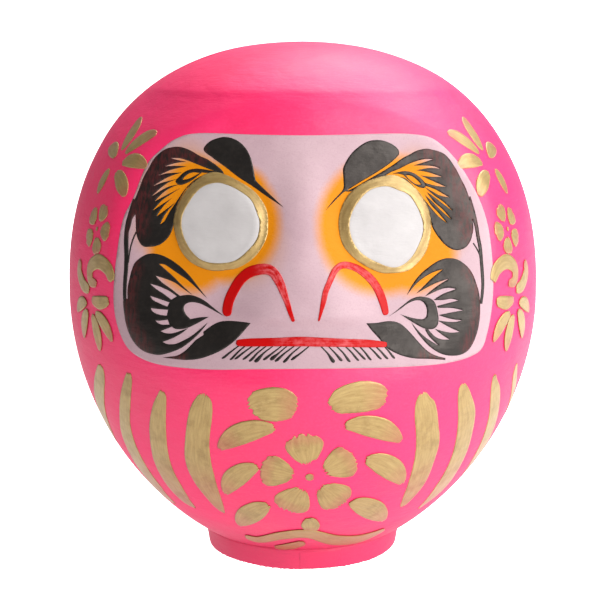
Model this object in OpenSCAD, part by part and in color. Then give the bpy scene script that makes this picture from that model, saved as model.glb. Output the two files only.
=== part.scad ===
// Papier-mache daruma doll: a hollow pulp shell in two halves on a weighted clay foot,
// with its face and ornament laid on as thin coats of paint.
// Millimetres. The origin is the centre of the underside; the face looks along -Y.

/* [Overall size] */
// Height from the table to the crown
doll_h = 240; // [235:1:245]
// Width across the widest part of the body
doll_w = 220; // [216:1:224]
// Height of the visible clay foot
foot_h = 11; // [10:0.5:12]

/* [Shell] */
// Wall of the moulded pulp
wall_t = 2.8; // [2:0.1:4]
// Thickness of the paper strip over the seam
strip_t = 0.5; // [0.3:0.1:0.8]
// Width of the paper strip over the seam
strip_w = 16; // [12:1:20]
// Height of the soft ridge of the hood over the face
ridge_z = 216; // [212:1:218]
// Distance from the axis to the face just under the ridge
ridge_y = 75.5; // [73:0.5:77]
// How far each eyeball stands out of the face
eye_rise = 2.5; // [1:0.5:4]
// How far the nose stands out at its lower edge
nose_rise = 5; // [2:0.5:7]

/* [Clay foot] */
// Radius of the underside
base_r = 44.5; // [43:0.5:45]
// Radius of the hole that holds the dipping stick
hole_r = 8; // [6:0.5:10]
// Height of the clay weight inside the shell
clay_h = 26; // [22:1:30]
// Paper strip wound around the foot
wrap_t = 0.6; // [0.4:0.1:0.8]
// Glue between the clay and the shell
glue_t = 0.6; // [0.4:0.1:0.8]

/* [Paint] */
// Thickness of one coat of paint
coat = 0.4; // [0.3:0.05:0.6]
// Distance of each eye from the middle of the face
eye_x = 34.2; // [33:0.1:36]
// Height of the eyes
eye_z = 165; // [163:0.5:167]
// Radius of the white of the eye
white_r = 16.3; // [15:0.1:17]
// Outer radius of the gold ring around the eye
ring_r = 19.8; // [19:0.1:21]

/* [Hidden] */

pink = "#f2497f";
gold = "#b39a55";
black = "#1d1715";
red = "#cf0a10";

// the pulp shell lies under the seam strip
shell_top = doll_h - strip_t;
shell_r = doll_w / 2 - strip_t;
belly_z = 122.5;
lower_h = 127;
top_power = 2.35;
top_root = 2.23;
low_power = 1.9;
low_root = 1.8;

// grid of the front shell: turns around the axis, then rows up to the ridge and over the dome
turn_step = 6;
turns = 180 / turn_step;
face_rows = 30;
dome_rows = 6;
row_z = [for (i = [0 : face_rows + dome_rows - 1])
         i <= face_rows ? foot_h + (ridge_z - foot_h) * i / face_rows
                        : ridge_z + (shell_top - ridge_z) * sin(90 * (i - face_rows) / dome_rows)];

// ---- shape of the shell ----

// radius of the round body at height z, drawn in by d
function body_r(z, d = 0) =
    let (up = z > belly_z,
         t = min(1, abs(z - belly_z) / (up ? shell_top - belly_z - d : lower_h - d)))
    (shell_r - d) * pow(1 - pow(t, up ? top_power : low_power), 1 / (up ? top_root : low_root));

// distance of the flattened face from the axis, measured straight forward
function face_y(z) = ridge_y + 0.107 * (ridge_z - z) + 0.00165 * pow(ridge_z - z, 2);

// the face slopes back from a rounded middle line towards both cheeks
function face_r(a, z, d) =
    (face_y(z) - d) / (cos(a) + 0.3 * (sqrt(pow(sin(a), 2) + 0.09) - 0.3));

// smaller of two lengths, blended where they are within k of each other
function soft_min(a, b, k) = min(a, b) - pow(max(k - abs(a - b), 0), 2) / (4 * k);

// 0 below a, 1 above b, eased in between
function ease(x, a, b) = let (t = min(1, max(0, (x - a) / (b - a)))) t * t * (3 - 2 * t);

function eye_relief(x, z) =
    eye_rise * (1 - ease(norm([abs(x) - eye_x, z - eye_z]), white_r - 3, ring_r));

function nose_relief(x, z) =
    let (half = 14 + 26 * ease(185 - z, 0, 55))
    nose_rise * ease(185 - z, 0, 55) * ease(z, 124, 131) * (1 - ease(abs(x), half * 0.3, half));

// radius of the front of the shell at angle a from -Y, drawn in by d
function front_r(a, z, d = 0) =
    let (r = cos(a) > 0.1 ? soft_min(body_r(z, d), face_r(a, z, d), 5) : body_r(z, d),
         x = r * sin(a))
    r + (d == 0 && abs(a) < 60 ? eye_relief(x, z) + nose_relief(x, z) : 0);

function front_point(r, a, z) = [r * sin(a), -r * cos(a), z];

// ---- meshes over the grid ----

// two triangles between four corners of a grid with w points in a row
function cell(s, w, i, j, flip) =
    let (a = s + i * w + j, b = a + 1, c = b + w, e = a + w)
    flip ? [[a, b, c], [a, c, e]] : [[a, c, b], [a, e, c]];

function strip_cell(a, b, c, e) = [[a, b, c], [a, c, e]];

// thin skin over the front, from lo to hi above the shell, between two rows and two turns
module skin(lo, hi, i0, i1, j0, j1) {
    w = j1 - j0 + 1;
    h = i1 - i0;
    n = w * (h + 1);
    points = [for (o = [hi, lo], i = [i0 : i1], j = [j0 : j1])
              let (a = j * turn_step - 90) front_point(front_r(a, row_z[i]) + o, a, row_z[i])];
    faces = [for (i = [0 : h - 1], j = [0 : w - 2]) each cell(0, w, i, j, false),
             for (i = [0 : h - 1], j = [0 : w - 2]) each cell(n, w, i, j, true),
             for (j = [0 : w - 2]) each strip_cell(j, j + 1, n + j + 1, n + j),
             for (j = [0 : w - 2]) let (t = h * w + j) each strip_cell(t + 1, t, n + t, n + t + 1),
             for (i = [0 : h - 1]) let (t = i * w) each strip_cell(t + w, t, n + t, n + t + w),
             for (i = [0 : h - 1]) let (t = i * w + w - 1)
                 each strip_cell(t, t + w, n + t + w, n + t)];
    polyhedron(points, faces, convexity = 8);
}

// a coat of paint in the outline of the children, seen from turn degrees round the body
// (resize keeps its size and makes it one mesh)
module painted(layer, turn = 0) {
    resize([0, 0, 0])
        intersection() {
            skin(layer * coat, (layer + 1) * coat, 0, face_rows - 1, 0, turns);
            rotate([0, 0, turn])
                rotate([90, 0, 0])
                    linear_extrude(doll_w)
                        children();
        }
}

// ---- brush work, drawn flat ----

function spline_point(p, q, r, s, t) =
    0.5 * (2 * q + (r - p) * t + (2 * p - 5 * q + 4 * r - s) * t * t
           + (3 * q - p - 3 * r + s) * t * t * t);

function open_curve(p, n) =
    let (m = len(p) - 1)
    [for (i = [0 : m - 1], k = [0 : n - 1])
         spline_point(p[max(i - 1, 0)], p[i], p[i + 1], p[min(i + 2, m)], k / n), p[m]];

function closed_curve(p, n) =
    let (m = len(p))
    [for (i = [0 : m - 1], k = [0 : n - 1])
         spline_point(p[(i + m - 1) % m], p[i], p[(i + 1) % m], p[(i + 2) % m], k / n)];

// edge of a stroke at point i, on the side given by s
function stroke_edge(c, i, s) =
    let (d = c[min(i + 1, len(c) - 1)] - c[max(i - 1, 0)],
         l = norm([d[0], d[1]]))
    [c[i][0] - s * d[1] / l * c[i][2] / 2, c[i][1] + s * d[0] / l * c[i][2] / 2];

// one brush stroke through points that each give x, z and the width there
module stroke(p, n = 3) {
    c = open_curve(p, n);
    polygon([for (i = [0 : len(c) - 1]) stroke_edge(c, i, 1),
             for (i = [len(c) - 1 : -1 : 0]) stroke_edge(c, i, -1)]);
}

module blob(p, n = 3) polygon(closed_curve(p, n));

// light gaps that fan out from a list of roots to a list of tips
module gaps(tips, roots) {
    for (i = [0 : len(tips) - 1])
        stroke([[each tips[i], 0.3], [each roots[i], 1.5]], 1);
}

module mirrored(side) scale([side, 1]) children();

module eye_place(side) translate([side * eye_x, eye_z]) children();

// ---- structure ----

// the two moulded halves meet in the plane Y = 0
module front_shell() {
    rows = face_rows + dome_rows;
    w = turns + 1;
    n = rows * w;
    top = 2 * n;
    inner_z = [for (z = row_z) foot_h + (z - foot_h) * (shell_top - wall_t - foot_h)
                                        / (shell_top - foot_h)];
    points = [for (z = row_z, j = [0 : turns])
                  let (a = j * turn_step - 90) front_point(front_r(a, z), a, z),
              for (z = inner_z, j = [0 : turns])
                  let (a = j * turn_step - 90) front_point(front_r(a, z, wall_t), a, z),
              [0, 0, shell_top], [0, 0, shell_top - wall_t]];
    last = (rows - 1) * w;
    faces = [for (i = [0 : rows - 2], j = [0 : w - 2]) each cell(0, w, i, j, false),
             for (i = [0 : rows - 2], j = [0 : w - 2]) each cell(n, w, i, j, true),
             for (j = [0 : w - 2]) [last + j, top, last + j + 1],
             for (j = [0 : w - 2]) [n + last + j, n + last + j + 1, top + 1],
             for (j = [0 : w - 2]) each strip_cell(j, j + 1, n + j + 1, n + j),
             for (i = [0 : rows - 2]) let (t = i * w) each strip_cell(t + w, t, n + t, n + t + w),
             for (i = [0 : rows - 2]) let (t = i * w + w - 1)
                 each strip_cell(t, t + w, n + t + w, n + t),
             each strip_cell(top, last, n + last, top + 1),
             each strip_cell(last + w - 1, top, top + 1, n + last + w - 1)];
    color(pink)
        polyhedron(points, faces, convexity = 8);
}

// outline of the round body, drawn in by d, from the foot to the crown
function body_outline(d) =
    [for (z = row_z) let (y = foot_h + (z - foot_h) * (shell_top - d - foot_h)
                                       / (shell_top - foot_h)) [body_r(y, d), y],
     [0, shell_top - d]];

module back_shell() {
    inside = body_outline(wall_t);
    color(pink)
        rotate_extrude(angle = 180)
            polygon([each body_outline(0), for (i = [len(inside) - 1 : -1 : 0]) inside[i]]);
}

module seam_strip() {
    inside = body_outline(0);
    color(pink)
        intersection() {
            rotate_extrude()
                polygon([each body_outline(-strip_t),
                         for (i = [len(inside) - 1 : -1 : 0]) inside[i]]);
            translate([-doll_w, -strip_w / 2, 0])
                cube([2 * doll_w, strip_w, 2 * doll_h]);
        }
}

neck_r = body_r(foot_h);
opening_r = body_r(foot_h, wall_t);

// heavy clay plug: its lower part is the foot, its upper part sits in the mouth of the shell
module clay_base() {
    plug_r = opening_r - 0.4;
    shoulder_z = foot_h - glue_t;
    color("#b58a63")
        rotate_extrude()
            polygon([[hole_r, 0], [base_r - 1.5, 0], [base_r - 0.4, 0.4], [base_r, 1.5],
                     [neck_r - wrap_t - 0.4, shoulder_z], [plug_r, shoulder_z],
                     [plug_r, foot_h + 3], [plug_r - 3, foot_h + 7], [plug_r - 11, clay_h - 4],
                     [hole_r + 8, clay_h], [hole_r, clay_h]]);
}

module glue_ring() {
    color("#c9a25a")
        rotate_extrude()
            polygon([[opening_r, foot_h - glue_t], [neck_r - wrap_t - 0.4, foot_h - glue_t],
                     [neck_r - wrap_t - 0.4, foot_h], [opening_r, foot_h]]);
}

// the strip goes once round the foot and its end laps over its start, right of the middle
module foot_wrap() {
    low_z = 1.5;
    low_r = base_r;
    high_r = neck_r - wrap_t - 0.4;
    band = [[low_r, low_z], [low_r + wrap_t, low_z], [high_r + wrap_t, foot_h - 0.4],
            [high_r + wrap_t, foot_h], [high_r, foot_h], [high_r, foot_h - glue_t]];
    lap = [[low_r + 0.5 * wrap_t, low_z], [low_r + 1.6 * wrap_t, low_z],
           [high_r + 1.6 * wrap_t, foot_h - 1], [high_r + 0.5 * wrap_t, foot_h - 1]];
    color(pink) {
        rotate_extrude()
            polygon(band);
        rotate([0, 0, -90])
            rotate_extrude(angle = 26)
                polygon(lap);
    }
}

// ---- face ----

module face_panel() {
    half = [[0, 201.5], [24, 202], [44, 202], [56, 199], [66, 188], [75, 170], [79, 150],
            [80.5, 132], [78.5, 118], [73, 110], [62, 107.6], [35, 107.8]];
    outline = [each half, [0, 108.5],
               for (i = [len(half) - 1 : -1 : 1]) [-half[i][0], half[i][1]]];
    color("#e3bfc6")
        painted(0)
            blob(outline, 2);
}

module eye_white(side) {
    color("#dcd9da")
        painted(1)
            eye_place(side)
                circle(white_r, $fn = 32);
}

module eye_ring(side) {
    color(gold)
        painted(1)
            eye_place(side)
                difference() {
                    circle(ring_r, $fn = 32);
                    circle(white_r, $fn = 32);
                }
}

// the crane brow: a round head with a long beak, and a feathered arch over the eye
module brow(side) {
    head = [[19.5, 184], [20.2, 191], [24, 197], [31, 199.8], [37.5, 198], [40.4, 194.6],
            [36.5, 190.8], [28, 185], [20, 180.4], [8.2, 171.2], [16.5, 179.6]];
    arch = [[19, 179.6], [31, 186.2], [43, 192.8], [51.5, 195.8], [59, 194.4], [65, 187],
            [69.5, 175.5], [72.6, 165], [70.8, 158.4], [66, 153.8], [60, 155.5], [55.3, 161.2],
            [53.5, 169], [50, 176.8], [44, 183], [36.6, 186], [28, 183.4]];
    open = [[41, 187.4], [47.5, 187.6], [53, 183], [56.4, 176], [57, 170], [55.4, 167.6],
            [53.4, 174], [49.8, 179.6], [44.8, 184]];
    tips = [[55, 191.4], [58, 188], [59.8, 184], [61.4, 180], [62.6, 175.4], [63.4, 170.4],
            [62.4, 166.6], [60.2, 163.6]];
    roots = [[46, 187.6], [49.5, 186.2], [52, 184], [54, 181.4], [55.4, 178], [56.4, 174.4],
             [56.8, 171.2], [56.2, 168.6]];
    color(black)
        painted(1)
            difference() {
                mirrored(side) {
                    blob(head);
                    difference() {
                        blob(arch);
                        blob(open);
                        gaps(tips, roots);
                    }
                    stroke([[39.6, 186.4, 1], [45, 186.6, 1.8], [49.4, 184.6, 2.2],
                            [51.8, 181.6, 2.4]], 2);
                    stroke([[72.3, 166, 2], [74.3, 156, 1.6], [75, 147, 1.2], [74.3, 134, 0.9]], 2);
                }
                eye_place(side)
                    circle(ring_r, $fn = 32);
            }
}

// the cheek beard: a fan of feathers around a curled knob
module cheek_beard(side) {
    outer = [[64, 152], [57.5, 151.4], [52, 148.6], [46.5, 142.8], [39.6, 135.3], [42, 130.5],
             [39.2, 125], [43.6, 120.2], [48.5, 116.2], [53.6, 113.3], [59, 111.5], [65, 112],
             [70.6, 115.8], [74, 124.5], [75, 134], [73.4, 139.8], [71.8, 145], [69, 149.6]];
    open = [[37, 134.2], [44, 138.6], [50.5, 141.2], [55.8, 139.4], [58.6, 133], [58, 125.8],
            [54, 120], [49, 119.2], [43.4, 122.4], [36.5, 126]];
    tips = [[59.2, 147], [62, 142.8], [64, 138.4], [64.8, 134], [65, 129], [63.6, 124.8],
            [61.6, 120.6], [57.4, 116.6]];
    roots = [[51.8, 140.6], [54.6, 139.6], [56.6, 137.4], [57.8, 134.4], [58.2, 130], [57.4, 126.4],
             [55.6, 122.8], [52.4, 120.2]];
    color(black)
        painted(1)
            mirrored(side) {
                difference() {
                    blob(outer);
                    blob(open);
                    gaps(tips, roots);
                }
                stroke([[33.2, 128.8, 0.5], [42, 133.6, 2.6], [49.6, 133.4, 5], [53.6, 129, 5.4],
                        [49.6, 124.9, 4.6], [44, 126, 2.4], [39.6, 127.8, 0.5]]);
            }
}

module moustache(side) {
    color(black)
        painted(1)
            mirrored(side)
                blob([[21, 125.8], [25, 126.8], [32.5, 126.5], [37.4, 124.8], [41.5, 121.4],
                      [46, 117.2], [51, 112.9], [58.4, 110.4], [49, 110.7], [41.6, 112.5],
                      [35.6, 115.4], [29.5, 118.6]]);
}

module nostril(side) {
    color(red)
        painted(1)
            mirrored(side)
                stroke([[32.6, 128.4, 3], [31.8, 133, 3.1], [28.5, 141, 2.8], [24.2, 146, 2.5],
                        [19, 148.8, 2.3], [14, 148, 2.1], [10, 143.6, 1.8], [7.4, 136.5, 1.4],
                        [5.2, 128.2, 0.9]]);
}

module mouth_line() {
    color(red)
        painted(1)
            stroke([[-27.6, 118.6, 1.6], [-13, 119.3, 2.7], [0.6, 119.5, 3.7], [19, 118.9, 2.9],
                    [35, 117.2, 2]]);
}

module chin_whiskers() {
    color(black)
        painted(1) {
            for (i = [0 : 10])
                translate([-26 + 2.85 * i, 0])
                    stroke([[0, 117, 0.8], [-3.6, 115, 0.9], [-6.6, 112, 0.5]], 1);
            for (i = [0 : 8])
                translate([5.6 + 3.3 * i, 0])
                    stroke([[0, 117, 0.8], [3.4, 115, 0.9], [6.4, 112, 0.5]], 1);
        }
}

// ---- gold ornament ----

// four broad strokes down each side of the belly
module gold_stripes(side) {
    turn = [25, 36.5, 47.5, 59];
    width = [12, 9.5, 8, 7.5];
    low_z = [36, 33, 36, 60];
    for (i = [0 : 3])
        color(gold)
            painted(0, side * turn[i])
                mirrored(side)
                    stroke([[0.5, 97, width[i] * 0.8], [0, 84, width[i]], [0.5, 68, width[i]],
                            [3, (68 + low_z[i]) / 2, width[i] * 0.85],
                            [6, low_z[i], width[i] * 0.3]]);
}

// ring of round petals about a centre dot
module blossom(petal_r, line_w) {
    for (k = [0 : 4])
        rotate(72 * k)
            translate([0, petal_r * 1.5])
                difference() {
                    circle(petal_r + line_w / 2, $fn = 24);
                    circle(petal_r - line_w / 2, $fn = 24);
                }
    circle(line_w * 0.8, $fn = 16);
}

// a spray of leaves over an open blossom, above a wave
module gold_motif_front() {
    color(gold)
        painted(0) {
            translate([4, 66])
                blossom(8.6, 4.4);
            stroke([[-27, 96, 2], [-17, 100, 8], [-7, 95, 2]]);
            stroke([[14, 97, 2], [25, 101, 8], [36, 96, 2]]);
            for (side = [-1, 1])
                translate([4, 0])
                    mirrored(side) {
                        stroke([[26, 84, 2], [32, 74, 7], [32, 62, 2]]);
                        stroke([[20, 50, 2], [29, 42, 7.5], [36, 29, 2]]);
                    }
            stroke([[4, 46, 3], [2, 38, 6], [5, 30, 2]]);
            stroke([[-24, 21, 2], [-11, 25.5, 5.5], [4, 19.5, 6], [18, 25.5, 5.5], [32, 21, 2]]);
        }
}

// a column of four small signs: sprig, blossom, cloud and leaves
module gold_motif(side) {
    color(gold)
        painted(0, side * 60)
            mirrored(side) {
                stroke([[-11, 184, 1.5], [-3, 192, 5], [8, 195, 1.5]]);
                stroke([[-9, 178, 1.5], [0, 183, 5], [9, 184, 1.5]]);
                translate([0, 162])
                    blossom(4.6, 2.8);
                stroke([[-11, 138, 2], [-5, 145, 4], [3, 141, 4], [-1, 136, 3], [7, 133, 3.6],
                        [11, 141, 2]]);
                stroke([[-2, 124, 1.5], [-8, 118, 5], [-10, 108, 1.5]]);
                stroke([[2, 124, 1.5], [8, 118, 5], [9, 108, 1.5]]);
            }
}

front_shell();
back_shell();
seam_strip();
clay_base();
glue_ring();
foot_wrap();
face_panel();
eye_white(-1);  // eye_white_left
eye_white(1);  // eye_white_right
eye_ring(-1);  // eye_ring_left
eye_ring(1);  // eye_ring_right
brow(-1);  // brow_left
brow(1);  // brow_right
cheek_beard(-1);  // cheek_beard_left
cheek_beard(1);  // cheek_beard_right
moustache(-1);  // moustache_left
moustache(1);  // moustache_right
nostril(-1);  // nostril_left
nostril(1);  // nostril_right
mouth_line();
chin_whiskers();
gold_stripes(-1);  // gold_stripes_left
gold_stripes(1);  // gold_stripes_right
gold_motif_front();
gold_motif(-1);  // gold_motif_left
gold_motif(1);  // gold_motif_right
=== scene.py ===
"""Looks of a papier-mache daruma doll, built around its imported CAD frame.

Shapes are worked out in millimetres and turned into metres when a mesh is made.
The doll faces -Y. An angle on the body is measured from -Y towards +X.
"""
import math
import random

import bpy
import numpy as np
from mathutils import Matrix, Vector
from mathutils.geometry import delaunay_2d_cdt


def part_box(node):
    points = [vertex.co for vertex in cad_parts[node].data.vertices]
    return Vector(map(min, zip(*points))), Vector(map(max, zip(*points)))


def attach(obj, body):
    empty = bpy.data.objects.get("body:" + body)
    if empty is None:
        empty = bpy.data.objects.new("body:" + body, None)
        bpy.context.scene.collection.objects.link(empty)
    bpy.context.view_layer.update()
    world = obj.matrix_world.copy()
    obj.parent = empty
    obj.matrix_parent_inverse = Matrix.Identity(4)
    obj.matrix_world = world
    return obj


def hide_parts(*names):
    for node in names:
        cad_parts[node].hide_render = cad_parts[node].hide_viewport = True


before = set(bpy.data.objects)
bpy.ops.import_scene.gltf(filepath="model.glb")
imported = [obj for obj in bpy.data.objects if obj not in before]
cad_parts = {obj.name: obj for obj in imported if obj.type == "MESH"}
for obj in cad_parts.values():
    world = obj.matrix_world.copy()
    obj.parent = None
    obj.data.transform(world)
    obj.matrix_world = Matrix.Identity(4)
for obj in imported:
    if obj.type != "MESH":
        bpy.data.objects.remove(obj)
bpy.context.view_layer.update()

MM = 0.001


def node_box(name):
    """Lowest and highest corner of a CAD node, in millimetres."""
    low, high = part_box(name)
    return np.array(low) / MM, np.array(high) / MM


# ---------------------------------------------------------------- main sizes, from the frame

shell_low, shell_high = node_box("front_shell")
FOOT_TOP = shell_low[2]
CROWN = shell_high[2]
BODY_R = shell_high[0]
white_low, white_high = node_box("eye_white_right")
ring_low, ring_high = node_box("eye_ring_right")
EYE_X = (white_low[0] + white_high[0]) / 2
EYE_Z = (white_low[2] + white_high[2]) / 2
WHITE_R = (white_high[2] - white_low[2]) / 2
RING_R = (ring_high[2] - ring_low[2]) / 2

# height of the widest part, and how far down its lower curve would reach
BELLY_Z = 122.5
LOWER_H = 127.0
# top of the flattened face, its distance from the axis there, and the rim of the crown
RIDGE_Z = 216.0
FACE_Y = 75.5
RIM_Z = 218.5
WALL = 2.6

# thickness of the paint, and the level above the shell that each layer starts from
COAT = 0.14
FACE_LIFT = 0.05
DRAWN_LIFT = FACE_LIFT + COAT
GOLD_LIFT = 0.02
# how far each coat reaches down into what is under it
SUNK = 0.1


# ---------------------------------------------------------------- shape of the body

def ease(x, a, b):
    t = np.clip((x - a) / (b - a), 0.0, 1.0)
    return t * t * (3 - 2 * t)


def body_radius(z):
    """Radius of the round body at height z."""
    z = np.asarray(z, float)
    up = z > BELLY_Z
    height = np.where(up, CROWN - BELLY_Z, LOWER_H)
    t = np.clip(np.abs(z - BELLY_Z) / height, 0.0, 1.0)
    power = np.where(up, 2.35, 1.9)
    root = np.where(up, 2.23, 1.8)
    shoulder = 0.9 * (ease(z, 185, 214) - ease(z, RIM_Z, 236))
    return BODY_R * (1 - t ** power) ** (1 / root) + shoulder


def face_radius(a, z):
    """Radius of the flattened face, which slopes back from a rounded middle line."""
    u = RIDGE_Z - z
    forward = FACE_Y + 0.107 * u + 0.00165 * u * np.abs(u) - 0.02 * np.maximum(z - 204, 0) ** 2
    slope = 0.3 * (np.sqrt(np.sin(a) ** 2 + 0.09) - 0.3)
    return forward / np.maximum(np.cos(a) + slope, 0.05)


def soft_min(a, b, k):
    return np.minimum(a, b) - np.maximum(k - np.abs(a - b), 0) ** 2 / (4 * k)


def eye_relief(x, z):
    d = np.hypot(np.abs(x) - EYE_X, z - EYE_Z)
    return 1.9 * (1 - ease(d, WHITE_R - 1.5, RING_R + 0.5)) + 0.9 * (1 - (d / RING_R) ** 2).clip(0)


def nose_relief(x, z):
    """A broad low nose, with a small ledge over the lip, and the full upper lip under it."""
    fall = ease(186 - z, 0, 56)
    half = 13 + 24 * fall
    nose = 4.6 * fall * ease(z, 122.5, 130.5) * (1 - ease(np.abs(x), half * 0.25, half))
    bridge = 1.6 * ease(z, 128, 150) * (1 - ease(z, 178, 200)) * np.exp(-(x / 9) ** 2)
    lip = 1.6 * np.exp(-((z - 117) / 6) ** 2) * (1 - ease(np.abs(x), 20, 52))
    return nose + bridge + lip


wave_rng = random.Random(7)
WAVES = [(Vector((wave_rng.gauss(0, 1), wave_rng.gauss(0, 1), wave_rng.gauss(0, 1))).normalized()
          * wave_rng.uniform(0.03, 0.16), wave_rng.uniform(0, 6.28)) for _ in range(26)]
UNEVENNESS = 0.085


def undulation(x, y, z):
    """Slow unevenness of hand-finished pulp, in millimetres."""
    total = 0.0
    for k, phase in WAVES:
        total = total + np.sin(k.x * x + k.y * y + k.z * z + phase) / (1 + 14 * k.length)
    return UNEVENNESS * total


def forehead_dip(a, z):
    """The forehead is steeper than the crown, so the rim of the crown shows as a ridge."""
    t = np.clip((RIM_Z - z) / 26, 0, 1)
    return 10 * t ** 0.8 * (1 - t) ** 1.6 * (1 - ease(np.abs(a), 1.0, 1.5))


def front_radius(a, z):
    body = body_radius(z) - forehead_dip(a, z)
    crease = 5.5 - 4.3 * ease(z, 198, 212)
    r = np.where(np.cos(a) > 0.1, soft_min(body, face_radius(a, z), crease), body)
    x = r * np.sin(a)
    near = np.abs(a) < math.radians(62)
    return r + np.where(near, eye_relief(x, z) + nose_relief(x, z), 0.0)


def surface_point(a, z, back=False):
    a, z = np.broadcast_arrays(np.asarray(a, float), np.asarray(z, float))
    r = body_radius(z) if back else front_radius(a, z)
    x, y = r * np.sin(a), -r * np.cos(a)
    r = r + undulation(x, y, z) * np.clip(r / 20, 0, 1)
    return np.stack([r * np.sin(a), -r * np.cos(a), z], -1)


def surface(a, z):
    """Points of the front of the body and the directions straight out of it."""
    step_a, step_z = 0.004, 0.3
    point = surface_point(a, z)
    along = surface_point(a + step_a, z) - surface_point(a - step_a, z)
    up = surface_point(a, z + step_z) - surface_point(a, z - step_z)
    normal = np.cross(along, up)
    return point, normal / np.linalg.norm(normal, axis=-1, keepdims=True)


def on_face(xz):
    """Flat (x, z) of the front view to the surface of the face, closing in on the angle."""
    x, z = xz[:, 0], xz[:, 1]
    first_radius, rounds, kept = 100, 14, 0.3
    a = np.arcsin(np.clip(x / first_radius, -0.95, 0.95))
    for _ in range(rounds):
        better = np.arcsin(np.clip(x / front_radius(a, z), -0.98, 0.98))
        a = kept * a + (1 - kept) * better
    return surface(a, z)


def round_body(turn):
    """Flat (arc length, z) about an angle in degrees to the surface of the body."""
    def place(xz):
        return surface(math.radians(turn) + xz[:, 0] / body_radius(xz[:, 1]), xz[:, 1])
    return place


# ---------------------------------------------------------------- meshes

def new_piece(name, points, faces, material):
    mesh = bpy.data.meshes.new(name)
    mesh.from_pydata([tuple(p) for p in np.asarray(points) * MM], [], faces)
    mesh.validate()
    mesh.update()
    mesh.polygons.foreach_set("use_smooth", [True] * len(mesh.polygons))
    obj = bpy.data.objects.new(name, mesh)
    bpy.context.collection.objects.link(obj)
    mesh.materials.append(material)
    return obj


def flat_sides(obj, count):
    """Keeps the thin sides of a coat, between its first count points and the rest, unsmoothed."""
    for face in obj.data.polygons:
        face.use_smooth = not min(face.vertices) < count <= max(face.vertices)


def set_values(obj, **values):
    """Named per-point numbers that the materials read."""
    for name, numbers in values.items():
        layer = obj.data.attributes.new(name, "FLOAT", "POINT")
        layer.data.foreach_set("value", np.asarray(numbers, np.float32))


def finish_piece(obj, node):
    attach(obj, "root")
    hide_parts(node)


def grid_faces(rows, columns, start=0, flip=False):
    faces = []
    for i in range(rows - 1):
        for j in range(columns - 1):
            a = start + i * columns + j
            quad = (a, a + 1, a + columns + 1, a + columns)
            faces.append(quad[::-1] if flip else quad)
    return faces


def slab_faces(rows, columns):
    """Faces of a thin slab: a grid of points, then the same grid under it, and the sides between."""
    n = rows * columns
    right = [i * columns + columns - 1 for i in range(1, rows)]
    top = [n - 1 - j for j in range(1, columns)]
    left = [i * columns for i in range(rows - 2, 0, -1)]
    loop = list(range(columns)) + right + top + left
    sides = [(b, a, a + n, b + n) for a, b in zip(loop, loop[1:] + loop[:1])]
    return grid_faces(rows, columns) + grid_faces(rows, columns, n, True) + sides


def catmull(points, steps, closed):
    """A smooth curve through the points, in any number of dimensions."""
    p = np.asarray(points, float)
    n = len(p)
    out = []
    for i in range(n if closed else n - 1):
        if closed:
            a, b, c, d = (p[(i + k) % n] for k in (-1, 0, 1, 2))
        else:
            a, b, c, d = p[max(i - 1, 0)], p[i], p[i + 1], p[min(i + 2, n - 1)]
        if np.array_equal(b, c):
            continue
        for t in np.arange(steps) / steps:
            out.append(0.5 * (2 * b + (c - a) * t + (2 * a - 5 * b + 4 * c - d) * t * t
                              + (3 * b - a - 3 * c + d) * t ** 3))
    if not closed:
        out.append(p[-1])
    return np.array(out)


def blob(points, steps=6):
    """A smooth closed outline. A point with a third value is a sharp corner."""
    doubled = []
    for point in points:
        doubled += [point[:2]] * (len(point) - 1)
    return catmull(doubled, steps, True)


def circle(cx, cz, r, count=96):
    t = 2 * math.pi * np.arange(count) / count
    return np.stack([cx + r * np.cos(t), cz + r * np.sin(t)], -1)


def stroke_outline(points, steps=8):
    """Outline of a brush stroke through (x, z, width)."""
    c = catmull(points, steps, False)
    d = np.gradient(c[:, :2], axis=0)
    d /= np.maximum(np.linalg.norm(d, axis=1, keepdims=True), 1e-6)
    side = np.stack([-d[:, 1], d[:, 0]], -1) * np.maximum(c[:, 2:3], 0.05) / 2
    return np.vstack([c[:, :2] + side, (c[:, :2] - side)[::-1]])


def winding(points, outline):
    """True for each point that the outline goes round."""
    total = np.zeros(len(points), int)
    nxt = np.roll(outline, -1, axis=0)
    for (x0, z0), (x1, z1) in zip(outline, nxt):
        if z0 == z1:
            continue
        crossing = (points[:, 1] >= min(z0, z1)) & (points[:, 1] < max(z0, z1))
        x = x0 + (points[:, 1] - z0) * (x1 - x0) / (z1 - z0)
        total += np.where(crossing & (points[:, 0] < x), 1 if z1 > z0 else -1, 0)
    return total != 0


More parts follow.
